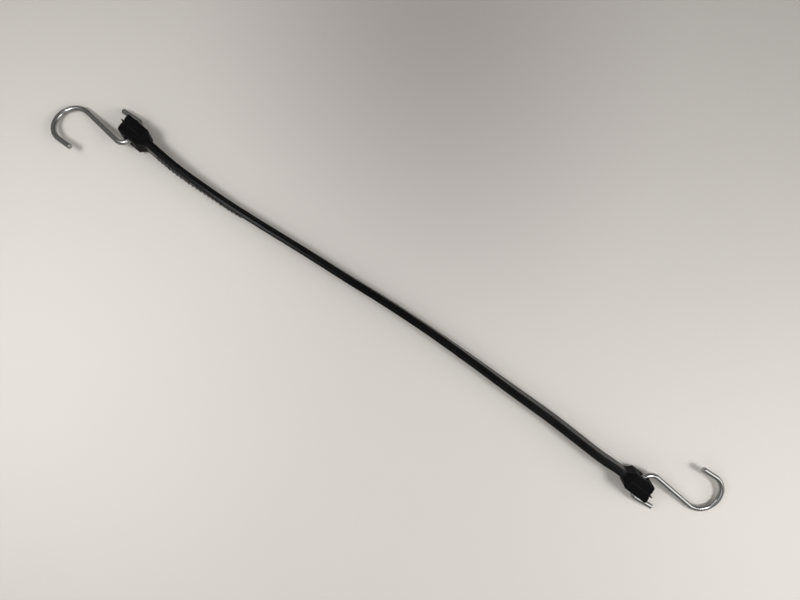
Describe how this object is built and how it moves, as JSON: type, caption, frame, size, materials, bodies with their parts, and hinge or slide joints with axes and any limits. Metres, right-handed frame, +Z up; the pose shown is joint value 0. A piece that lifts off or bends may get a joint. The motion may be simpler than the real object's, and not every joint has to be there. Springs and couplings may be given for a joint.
{
  "type": "rubber tie-down strap",
  "caption": "Moulded black rubber tie-down strap that stretches, with a thick eye lug at each end and a bent wire S-hook hinged in each eye.",
  "frame": {"origin": "middle of the strap's length and spread, on the table that it lies on", "axes": "+X along the strap towards the right hook, +Y across it on the table, +Z up"},
  "size_m": [0.7816, 0.0929, 0.0303],
  "materials": {
    "strap_rubber": "moulded EPDM, semi-matt with a slight bloom",
    "hook_wire": "bright zinc plated drawn wire"
  },
  "bodies": {
    "strap": {"eye_lug_left": "strap_rubber", "strap_web": "strap_rubber"},
    "right_end": {"eye_lug_right": "strap_rubber"},
    "left_hook": {"s_hook_left": "hook_wire"},
    "right_hook": {"s_hook_right": "hook_wire"}
  },
  "joints": [
    {"name": "strap_stretch", "type": "slide", "parent": "strap", "child": "right_end", "axis": [1, 0, 0], "range_m": [0, 0.3], "stiffness_N_per_m": 850, "deforming": ["strap_web"]},
    {"name": "left_hook_swing", "type": "hinge", "parent": "strap", "child": "left_hook", "pos_m": [-0.308, 0.0041, 0.01595], "axis": [-0.1052, -0.9687, 0.225], "range_deg": [-110, 110]},
    {"name": "right_hook_swing", "type": "hinge", "parent": "right_end", "child": "right_hook", "pos_m": [0.3069, -0.0045, 0.01557], "axis": [0.0582, 0.9799, 0.1908], "range_deg": [-110, 110]}
  ]
}
